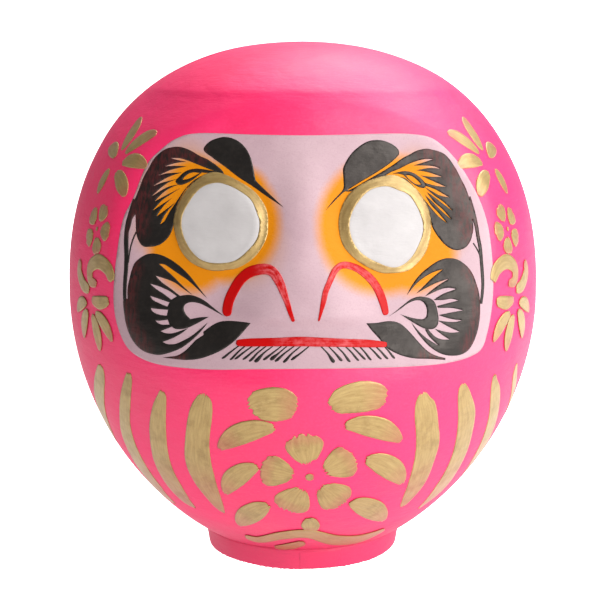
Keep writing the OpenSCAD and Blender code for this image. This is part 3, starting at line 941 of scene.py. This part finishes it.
loop = [(-34, 185.8, 1), (-39.5, 186.7), (-44.6, 187.1), (-48, 186.4), (-50.2, 185.1),
        (-51.7, 183.6), (-53.2, 181.9), (-52.5, 180.7), (-51, 180.3), (-48.5, 181.1),
        (-45.9, 182.5), (-43.8, 184.2), (-42.1, 185.6, 1), (-38.7, 185.5)]
tear = [(-50.2, 182.4, 1), (-49.5, 183.5), (-47.6, 185), (-45.5, 185.6), (-42.9, 185.4, 1),
        (-45.3, 184), (-48, 182.8)]
line = [(-71.2, 174, 0.8), (-72.6, 168.2, 1.6), (-73.8, 162.9, 1.9), (-74.2, 157.1, 2), (-74, 151, 1.9),
        (-74.1, 145.7, 1.8), (-74.5, 140.8, 1.7), (-74.7, 136.7, 1.6), (-74.7, 132.6, 1.5)]
fine = [(-69.9, 160.5, 0.7), (-71.3, 157.2, 0.6), (-72.3, 153.9, 0.6), (-72.8, 150.6, 0.5),
        (-73.1, 147.8, 0.4)]
brow("brow_left", -EYE_X, (head, arch, gaps, loop, tear, line, fine),
     rust_near([(-44, 192), (-54, 193), (-62, 187), (-68, 174), (-69.5, 162)], 7.5))

head = [(9.3, 170.8, 1), (12.6, 174.8), (15.5, 177.7), (16.9, 179.8), (16.9, 183.9), (16.8, 187.6),
        (18.3, 191), (20.6, 194.1), (23.1, 196.3), (25.6, 197.9), (28.1, 198.9), (31.1, 199.2),
        (34, 198.8), (37, 197.6), (39.1, 196.2), (40.4, 194.4), (40, 192.6), (37.4, 190.2),
        (33.6, 187.6), (28.9, 184.8), (24.7, 182.5), (18.5, 178.9, 1), (21.4, 178.5, 1),
        (19.3, 178.3), (17.4, 178.3), (14.7, 176.1)]
arch = [(18, 178.3, 1), (22.6, 180.4), (26.4, 182.5), (30.6, 184.8), (34.9, 187.1), (38.7, 189.4),
        (42.1, 191.6), (45.1, 193), (47.6, 194.3), (50.2, 195), (52.8, 195.2), (55.4, 194.6),
        (57.9, 193.9), (60.1, 192.8), (62.3, 190.6), (64.9, 186.8), (67, 182.8), (68.9, 179.1),
        (70.4, 175.1), (71.7, 170.7), (72.5, 167.4), (72.9, 164.5), (73.5, 160.4, 1), (72.7, 162.5),
        (71.8, 165.8, 1), (72.1, 162.5), (71.7, 159.7), (70.6, 156.6), (68.8, 154.4), (66.2, 153.3),
        (63.6, 153.4), (61.1, 154.5), (58.5, 156.8), (56, 160.1), (54.3, 163.2), (53.5, 166.3),
        (52.9, 169.6), (51.4, 172.9), (49.7, 175.4), (46.3, 178.4), (40.8, 181, 1), (32.3, 182),
        (22.6, 178.9, 1)]
gaps = [(34, 184.2, 1), (37, 185.9), (40.4, 187.1), (44.2, 188.9), (47.6, 190.1), (51.5, 190.9),
        (55.1, 190.8, 1), (51.1, 189.6), (46.6, 188.4, 1), (51.5, 188.3), (55.3, 187.9),
        (58.2, 186.8, 1), (53.6, 187.2), (47.8, 186.4, 1), (52.8, 185.5), (59, 183.4, 1),
        (54, 183.6), (49.7, 184.2, 1), (53.6, 182.4), (60.7, 179.2, 1), (56.2, 179.8),
        (51.7, 181.1, 1), (51.7, 179.9, 1), (56.2, 178.2), (62, 174.8, 1), (57.9, 175.8),
        (54.4, 177.7), (51.4, 179.4, 1), (55.3, 176), (59.6, 172.9), (63.2, 169.3, 1),
        (58.7, 172.7), (55.3, 175.3), (52.3, 177.3, 1), (55.3, 173.2), (59.1, 169.9),
        (62.7, 165.7, 1), (58.2, 169.7), (54.4, 173.5), (51.4, 176.2, 1), (54, 172), (56.9, 168.9),
        (60.8, 164.3, 1), (56.9, 167.5), (53.5, 171.4), (50.6, 174.9), (47.6, 178.6), (45, 181.5),
        (42.5, 183.4), (38.7, 183.9)]
loop = [(37.4, 185.1, 1), (40.4, 185.9), (43.3, 186.1), (46.3, 185.4), (48.9, 183.8), (51, 181.8),
        (51.9, 180.3), (51.2, 179.1), (49.3, 179.3), (46.7, 180.6), (44.6, 182.3), (42.3, 184.6, 1),
        (39.9, 185.2)]
tear = [(43.1, 184.5, 1), (45.5, 184.2), (48, 182.5), (49.9, 180.5, 1), (47.6, 180.7), (45, 182.5)]
line = [(70.9, 175, 0.6), (72.4, 168.6, 1.2), (73.4, 163.3, 1.5), (74.1, 158.3, 1.5), (74.9, 153.8, 1.5),
        (75.3, 148.9, 1.4), (75.6, 144, 1.4), (75.8, 139, 1.3), (75.5, 135, 1.3),
        (74.9, 130.9, 1.2)]
fine = [(71.9, 155.8, 0.5), (73.3, 153.7, 0.5), (74.5, 151.2, 0.6), (75.3, 148.1, 0.6)]
brow("brow_right", EYE_X, (head, arch, gaps, loop, tear, line, fine),
     rust_near([(52, 195), (58, 192), (64, 186), (68.5, 174), (70, 160)], 7.5))

# cheek beards: a fan of feathers round a knob
fan = [(-66.6, 150.9), (-64, 151.8), (-61.5, 151.9), (-58.4, 151.2), (-54.6, 149.5), (-51.1, 147.2),
       (-48.1, 144.7), (-45.5, 142), (-42.9, 138.9), (-39.3, 134.7, 1), (-43.4, 138.3),
       (-47.6, 141.7), (-51.1, 143.8), (-54.5, 145.9), (-57.5, 147.6), (-60, 147.9, 1),
       (-57.1, 145.6), (-54, 143.1), (-51, 140.4), (-48, 137.9), (-45.7, 136, 1), (-49.3, 138.1),
       (-52.7, 140.3), (-56.6, 141.8), (-61.4, 143, 1), (-58.7, 140.5), (-55.2, 138.3),
       (-50.5, 135.1, 1), (-51.7, 129.1), (-52.4, 122.4, 1), (-53.7, 123.1), (-55.8, 122.4),
       (-58.9, 121.1, 1), (-56.6, 120.4), (-53.2, 120.7), (-47.2, 122.9, 1), (-50.2, 120.6),
       (-53.6, 118.7), (-58, 116.8, 1), (-55.7, 116.1), (-52.3, 116.5), (-48.5, 118.3),
       (-45.6, 120), (-42.7, 122.3), (-39, 125.4, 1), (-40.6, 123.3), (-43.5, 120.1),
       (-46.8, 117.3), (-50.5, 114.7), (-54.8, 112.8), (-59.2, 111.4), (-63.1, 111.4),
       (-66.7, 112.1), (-69.9, 114.2), (-72.3, 117.3), (-74.1, 121.7), (-75, 126.7), (-75.4, 132.1),
       (-74.2, 133.2, 1), (-73.4, 133.1, 1), (-73.4, 137.2), (-72.5, 141.7), (-71.5, 145.4),
       (-70, 148.3)]
knob = [(-32.3, 128.3, 1), (-37, 131.5), (-40.3, 133.8), (-43.7, 135.3), (-46.7, 135.9),
        (-49.7, 135.6), (-52.6, 134.8), (-54.7, 133.3), (-56, 131.3), (-56.2, 128.5),
        (-55.8, 125.8), (-54.7, 123.7), (-52.8, 122.4), (-50.7, 122.3), (-47.7, 122.9),
        (-44, 124.6), (-41.1, 126.2), (-38.6, 127.6, 1), (-42.3, 127.3), (-46.3, 126.4, 1),
        (-48, 127.9), (-49.1, 129.8), (-49, 131.6), (-47.5, 132.7), (-45.4, 133.1), (-42.4, 132.7),
        (-39.1, 131.4), (-35.7, 129.8)]
gap_a = [(-63.6, 139.7, 1), (-59.5, 138.7), (-55.6, 137.2), (-52.2, 135.2, 1), (-54.5, 133.7, 1),
         (-57.7, 135.8), (-61.2, 137.8)]
gap_b = [(-63.6, 134.9, 1), (-60.7, 134.1), (-55.3, 132.6, 1), (-56.2, 130.9, 1), (-59.4, 132),
         (-62.2, 133.2)]
gap_c = [(-63.3, 130, 1), (-60.2, 129.8), (-55.8, 129.7, 1), (-56.4, 127.3, 1), (-59.7, 127.6),
         (-62.3, 128.6)]
gap_d = [(-61.2, 125.1, 1), (-58.8, 125.3), (-55.9, 125.8, 1), (-55.1, 123.9, 1), (-58.3, 123.7),
         (-60.1, 124.3)]
gaps = [blob(gap) for gap in (gap_a, gap_b, gap_c, gap_d)]
ink("cheek_beard_left", [([blob(fan), blob(knob)], gaps)],
    rust_near([(-71, 146), (-73.5, 134), (-72, 122), (-66, 114)], 6))

fan = [(43, 135.8, 1), (44.6, 138.7), (46.8, 141.8), (49.4, 144.5), (52.4, 146.7), (55.8, 148.8),
       (58.9, 149.9), (61.4, 150.1), (64.4, 149.6), (67, 148.2), (69.6, 145.9), (71.5, 143),
       (72.9, 139.3), (74.1, 135.1), (74.5, 130.1), (74.3, 124.7), (73.4, 119.7), (71.7, 115.2),
       (69.5, 112.1), (66.3, 110.6), (62.3, 110.7), (58.3, 111.7), (54.8, 113.6), (51.4, 116.4),
       (48.5, 119.7), (46.3, 122.7), (44.8, 125.3, 1), (47.7, 121.9), (51, 118.9), (56.5, 115.3, 1),
       (54, 117.6), (51.9, 119.9), (50.5, 122.3, 1), (51.9, 122.3, 1), (53, 120.9), (55.1, 119),
       (57.8, 117.9), (60.9, 117.6, 1), (57.4, 120), (54.7, 122.3, 1), (57.9, 121.2), (61.7, 120.3),
       (65.4, 120.3, 1), (60.5, 122.8), (56, 125.5, 1), (60.1, 124.8), (63.5, 124.5),
       (66.4, 124.9, 1), (61.4, 125.9), (56.4, 127.6, 1), (61, 128.3), (66.9, 128.9, 1),
       (62.3, 130.1), (56.1, 130.5, 1), (55.9, 131.2, 1), (60.2, 132.1), (64.9, 133, 1),
       (62, 133.8), (58.6, 133.5), (54.3, 133.6, 1), (58.2, 135.8), (64, 137.6, 1), (60.8, 138.2),
       (56.9, 137.6), (50.5, 135.1, 1), (54.4, 138.1), (58.3, 140.4), (61.1, 141.8, 1),
       (56.6, 140.7), (52.3, 139), (47.1, 136.5, 1), (50.6, 139.6), (54, 142.5), (58.5, 145.7, 1),
       (54.5, 144.7), (50.6, 142.8), (46.8, 140)]
knob = [(35.2, 127.8, 1), (38.6, 130), (42, 132.5), (45, 134.4), (48, 135.2), (50.9, 134.9),
        (53.5, 134), (55.1, 132.1), (56, 128.9), (56.3, 125.8), (55.8, 123.6), (54.3, 122.4),
        (51.9, 122.3), (49.4, 123), (45.7, 125.1), (40.3, 128.6, 1), (44.4, 127.2), (49.1, 126.3),
        (50.9, 127), (51.4, 128.7), (51.3, 130.7), (50.2, 132.7), (48.6, 133.7), (46.2, 133.7),
        (43.3, 132.6), (39.9, 130.4)]
ink("cheek_beard_right", [([blob(fan), blob(knob)], [])],
    rust_near([(70, 145), (73.5, 136), (73.6, 126), (69, 114)], 5))

leaf = [(-57.9, 110.5, 1), (-54.8, 111.1), (-51.8, 111.8), (-48.8, 113.6), (-46.3, 115.9),
        (-43.9, 118.4), (-40.6, 120.6, 1), (-40.8, 121.7, 1), (-37.3, 124.3), (-34, 125.9),
        (-30.2, 126.5), (-25.2, 126.5), (-21.1, 126.2, 1), (-23.6, 123.2), (-26.4, 120.2),
        (-29.7, 117.4), (-33.4, 115), (-37.5, 113), (-42.1, 111.3), (-46.3, 110.5), (-50.5, 110.3)]
ink("moustache_left", [([blob(leaf)], [])], rust_near([(-56, 111), (-50, 112)], 4))

leaf = [(26.1, 125.8, 1), (30.2, 125.7), (33.1, 126), (36, 126.1), (39, 125.5), (41.5, 124),
        (44.8, 120.8), (48, 117.2), (51.4, 113.8), (54.8, 111.7), (59.2, 110.1, 1),
        (59.2, 109.3, 1), (52.7, 110.4), (46.3, 111.1), (41.3, 112.4), (37.1, 114.3), (34.2, 116.3),
        (31.4, 119.6), (28.1, 123.1)]
ink("moustache_right", [([blob(leaf)], [])], rust_near([(56, 111), (50, 112)], 4))


def red_stroke(name, node, points, seed, dry_from, dry_most):
    """A red line with the brush running dry from a share of its length on, up to dry_most."""
    obj = brushed(name, points, on_face, DRAWN_LIFT + 0.05, RED, seed, lanes=9, step=0.6,
                  ragged=(0.2, 0.2))
    share = np.zeros(len(obj.data.vertices), np.float32)
    obj.data.attributes["share"].data.foreach_get("value", share)
    dry = ease(share, dry_from, dry_from + 0.15) * (1 - ease(share, 0.8, 0.9))
    set_values(obj, dry=dry_most * dry)
    finish_piece(obj, node)


red_stroke("nostril_left", "nostril_left",
           [(-30.9, 128.2, 3.4), (-30.9, 131, 4), (-30, 134.9, 4), (-28.1, 138.8, 4), (-25.6, 142.7, 4),
            (-21.7, 146, 4.1), (-15.9, 147.6, 4.1), (-12.2, 146.7, 4), (-9.5, 143.1, 3.7),
            (-7.8, 139.2, 3.1), (-6.3, 135.2, 2.3), (-5, 131.2, 1.8), (-3.6, 127.4, 1.3)],
           31, 0.42, 1.0)
red_stroke("nostril_right", "nostril_right",
           [(34.1, 128.4, 2.2), (33.9, 130.6, 2.8), (32.8, 134.6, 3.3), (31, 138.8, 3.3),
            (28.3, 142.7, 3.2), (23.8, 146.6, 2.9), (19.6, 148.6, 2.6), (16, 149, 2.6),
            (13.2, 147.1, 2.6), (11.1, 143.1, 2.4), (9.4, 139.1, 2.3), (8.5, 135.2, 2.1),
            (7.5, 131.2, 1.3), (6.5, 127.6, 0.6)], 32, 0.1, 0.6)
red_stroke("mouth", "mouth_line",
           [(-27.2, 118.2, 2.2), (-21.5, 118.6, 2.9), (-11, 119, 3.1), (-1, 119.3, 3.5), (8, 119, 3.3),
            (17, 118.6, 3), (27, 118, 2.8), (34.6, 117.2, 1.9)], 33, 0.2, 0.6)


def whiskers():
    """Short slanting hairs under the mouth, thin at the top and rounded where the brush stopped."""
    rng = random.Random(12)
    left_count = 11
    tops = [-25.4 + 2.78 * i for i in range(left_count)] + [7.3 + 3.14 * i for i in range(9)]
    pieces = []
    for i, x in enumerate(tops):
        side, reach = (-1, 7.4) if i < left_count else (1, 5.8)
        x += rng.uniform(-0.4, 0.4)
        end = x + side * (reach + rng.uniform(-0.7, 0.5))
        low = 111.8 + rng.uniform(-0.6, 0.5)
        wide = rng.choice((1.0, 1.1, 1.5)) if 3 < i < 14 else 0.85
        points = [(x, 117.6, 0.4), ((x + end) / 2, 114.8, 0.65),
                  (x * 0.15 + end * 0.85, low + 0.7, wide), (end, low, wide * 0.5)]
        pieces.append(film("w", [stroke_outline(points, 5)], [], on_face, DRAWN_LIFT, BLACK))
    finish_piece(joined(pieces, "chin_whiskers"), "chin_whiskers")


whiskers()


# ---------------------------------------------------------------- gold ornament

def gold_piece(name, strokes, turns, seed):
    """Strokes of gold, each about its own angle on the body, as one piece."""
    pieces = []
    for k, (turn, points) in enumerate(zip(turns, strokes)):
        wide = max(p[2] for p in points)
        pieces.append(brushed(f"{name}_{k}", points, round_body(turn), GOLD_LIFT + 0.02 * k, GOLD,
                              seed + k, lanes=max(9, int(wide * 1.6)), coat=0.09,
                              ragged=(wide * 0.12, wide * 0.1)))
    finish_piece(joined(pieces, name), name)


# how far round the body the side ornaments stand, in degrees
SIDE_TURN = 56.5

# each belly stroke: its points as (degrees round the body, z, width)
left_stripes = [
    [(-22.2, 97, 4), (-22.8, 92.5, 8), (-24, 87, 10.4), (-25.6, 79, 11), (-27, 71, 11.8),
     (-28.3, 62, 13.2), (-28.6, 53.5, 12.2), (-28.2, 45, 8.6), (-27.9, 39, 5.4), (-27.4, 34.5, 0.8)],
    [(-33.4, 96, 2.4), (-34, 92.5, 4.6), (-35.7, 86.2, 7.2), (-38.2, 76, 9.3), (-40.5, 65.5, 10.2),
     (-42.2, 56, 11.3), (-42.7, 46, 11.3), (-42, 38.5, 8), (-39.6, 34, 0.8)],
    [(-43.2, 101, 3), (-44.6, 96, 5), (-47.5, 87, 6.8), (-51, 76.5, 7.6), (-54, 66, 10.4),
     (-56, 55, 12.6), (-57.2, 45, 14.5), (-57, 37.5, 13), (-54, 31, 1.5)],
    [(-55.4, 101, 3.5), (-56.6, 96, 7.2), (-60.3, 88, 9.4), (-64.3, 79.5, 10.6), (-67.6, 71, 11.6),
     (-68.8, 64.5, 9), (-69.8, 57, 1.5)]]
right_stripes = [
    [(28, 96.5, 3), (28.5, 92, 7.5), (29.6, 87.5, 10.6), (31.5, 78, 11.3), (33.3, 69, 12.2),
     (34.3, 59.5, 11.4), (35.3, 50, 10.6), (35.3, 42.5, 7.4), (35, 36, 2.5)],
    [(39, 97.5, 2.5), (40, 93.5, 6), (41.4, 88.5, 8.2), (44, 80, 10.7), (46.2, 70, 10.9),
     (48.4, 59, 11.4), (49.6, 49, 11.8), (49.7, 41, 11), (46.6, 31, 1)],
    [(50.8, 98, 2), (51.8, 93.5, 4.6), (54, 87.5, 7.6), (57.5, 77.5, 8.8), (60.8, 67, 10.6),
     (63.4, 58, 12.2), (64.6, 50, 10.5), (65, 42, 2)],
    [(62.8, 98.5, 2), (63.6, 94, 4.6), (65.6, 89, 5.2), (68.6, 83, 5.2), (71, 77, 3.8),
     (73.6, 70, 1)]]


def stripes(name, data, seed):
    turns = [stroke[0][0] for stroke in data]
    strokes = [[(math.radians(angle - turn) * float(body_radius(z)), z, width)
                for angle, z, width in stroke] for turn, stroke in zip(turns, data)]
    gold_piece(name, strokes, turns, seed)


stripes("gold_stripes_left", left_stripes, 50)
stripes("gold_stripes_right", right_stripes, 60)


def leaf_stroke(x0, z0, x1, z1, wide, bend=0.0):
    """One press of a pointed brush, thin where it lands and where it lifts."""
    dx, dz = x1 - x0, z1 - z0
    out = []
    for t, share in ((0, 0.3), (0.25, 0.85), (0.55, 1.0), (0.8, 0.75), (1, 0.2)):
        arch = bend * 4 * t * (1 - t)
        out.append((x0 + t * dx - arch * dz, z0 + t * dz + arch * dx, wide * share))
    return out


def blossom(cx, cz, reach, turn=0.0):
    """Five fat petals, each a stroke of (distance, width) as shares of the reach, and a dot."""
    petal = ((0.3, 0.22), (0.48, 0.5), (0.68, 0.72), (0.86, 0.74), (1.02, 0.5))
    strokes = []
    for k in range(5):
        way = math.radians(90 + 72 * k + turn)
        strokes.append([(cx + reach * r * math.cos(way), cz + reach * r * math.sin(way), reach * w)
                        for r, w in petal])
    strokes.append([(cx - reach * 0.09, cz, reach * 0.16), (cx + reach * 0.09, cz, reach * 0.16)])
    return strokes


# two clouds, a blossom among leaves, and a wave under it
front_strokes = [
    [(-22.5, 91, 9), (-17, 93, 14), (-9, 93.5, 15), (-2, 91, 10)],
    [(10.5, 93, 8), (18, 95.5, 12.5), (27, 96.5, 13.5), (36, 95.5, 9)],
    *blossom(3, 59, 21.5, 8),
    leaf_stroke(-11, 83, -36, 71, 10, -0.12),
    leaf_stroke(-18.5, 64, -34, 47, 10, -0.14),
    leaf_stroke(-14, 43, -29, 27.5, 11, -0.1),
    leaf_stroke(17, 84, 43, 74, 10, 0.12),
    leaf_stroke(26, 67, 45, 51, 11, 0.14),
    leaf_stroke(20, 44, 38, 29, 11.5, 0.12),
    leaf_stroke(2, 36, 3, 26, 8, 0.1),
    [(-27, 20, 3), (-20, 18.5, 5), (-9, 23.5, 5.6), (3, 25, 6), (15, 19, 8), (27, 17.5, 7),
     (40, 22, 2)],
    [(-13, 12.5, 3), (-6, 14.5, 5.5), (1, 18.5, 4)]]
gold_piece("gold_motif_front", front_strokes, [0] * len(front_strokes), 80)


def side_signs(side):
    """A spray of leaves, a blossom, clouds and hanging leaves, one over the other."""
    signs = [
        leaf_stroke(1, 193, 7, 207, 7, 0.1), leaf_stroke(-3, 192, -17, 201, 6.5, -0.12),
        leaf_stroke(-4, 188, -20, 187, 6, -0.14), leaf_stroke(-2, 184, -14, 174.5, 6.5, -0.12),
        leaf_stroke(4, 185, 8, 174, 6, 0.1), leaf_stroke(4, 190, 17, 193, 6, 0.12),
        *blossom(0, 160, 11, 20),
        [(-17, 139, 4), (-13, 144.5, 6), (-5, 146.5, 6.5), (2, 143, 6), (1, 137.5, 5), (-5, 137, 3)],
        [(2, 133.5, 4), (9, 134.5, 6), (15, 139.5, 6), (14, 145, 4)],
        [(-15, 131, 4), (-7, 129, 6), (0, 129.5, 3)],
        leaf_stroke(-3, 124, -16, 113, 6.5, -0.12), leaf_stroke(0, 123, -4, 107, 7, -0.1),
        leaf_stroke(4, 124, 12, 110, 7, 0.1), leaf_stroke(5, 127, 19, 121, 6, 0.12)]
    return [[(side * x, z, w) for x, z, w in stroke] for stroke in signs]


for side, name in ((-1, "gold_motif_left"), (1, "gold_motif_right")):
    signs = side_signs(side)
    gold_piece(name, signs, [SIDE_TURN * side] * len(signs), 125 + 15 * side)


# ---------------------------------------------------------------- studio

MIDDLE = (0, 0, 0.12)


def studio():
    """A wide round floor: a disc inside rings that widen outwards, in metres."""
    rings = (0.15, 0.4, 1.0, 3.0, 9.0)
    count = 72
    turn = 2 * math.pi / count
    points = [(r * math.cos(turn * i) / MM, r * math.sin(turn * i) / MM, 0)
              for r in rings for i in range(count)]
    faces = [(k * count + i, (k + 1) * count + i, (k + 1) * count + (i + 1) % count,
              k * count + (i + 1) % count) for k in range(len(rings) - 1) for i in range(count)]
    faces.append(tuple(range(count)))
    new_piece("studio_floor", points, faces, make_floor())


def lamp(name, where, size, power):
    """A broad lamp that shines at the middle of the doll."""
    data = bpy.data.lights.new(name, "AREA")
    data.shape = "RECTANGLE"
    data.size, data.size_y = size
    data.energy = power
    obj = bpy.data.objects.new(name, data)
    bpy.context.collection.objects.link(obj)
    obj.location = where
    obj.rotation_euler = (Vector(MIDDLE) - Vector(where)).to_track_quat("-Z", "Y").to_euler()


def sky():
    """Plain white to look at; its light is dimmer, and dimmest on the left."""
    world = bpy.data.worlds.new("studio")
    bpy.context.scene.world = world
    world.use_nodes = True
    nodes, links = world.node_tree.nodes, world.node_tree.links
    toward = nodes.new("ShaderNodeTexCoord").outputs["Generated"]
    split = nodes.new("ShaderNodeSeparateXYZ")
    dim = nodes.new("ShaderNodeMapRange")
    for socket, value in (("From Min", -0.9), ("From Max", 0.9), ("To Min", 0.3), ("To Max", 0.44)):
        dim.inputs[socket].default_value = value
    seen = nodes.new("ShaderNodeLightPath").outputs["Is Camera Ray"]
    strength = nodes.new("ShaderNodeMath")
    strength.operation = "ADD"
    links.new(toward, split.inputs["Vector"])
    links.new(split.outputs["X"], dim.inputs["Value"])
    links.new(dim.outputs["Result"], strength.inputs[0])
    links.new(seen, strength.inputs[1])
    links.new(strength.outputs["Value"], nodes["Background"].inputs["Strength"])
    nodes["Background"].inputs["Color"].default_value = (1, 1, 1, 1)


def aim_camera():
    """Looks slightly down at the middle of the doll."""
    distance = 0.7
    tilt = math.radians(9.87)
    data = bpy.data.cameras.new("camera")
    data.sensor_width = 36
    data.lens = 88.3
    data.shift_x = -0.0042
    data.shift_y = -0.0052
    camera = bpy.data.objects.new("camera", data)
    bpy.context.collection.objects.link(camera)
    camera.location = (0, -distance * math.cos(tilt), MIDDLE[2] + distance * math.sin(tilt))
    camera.rotation_euler = (math.pi / 2 - tilt, 0, 0)
    bpy.context.scene.camera = camera


studio()
lamp("key", (1.35, -1.05, 0.85), (2.2, 1.5), 35)
lamp("top", (0.5, 0.5, 1.5), (1.8, 1.3), 24)
sky()
aim_camera()
bpy.context.scene.view_settings.view_transform = "Standard"
bpy.context.scene.view_settings.look = "Medium High Contrast"
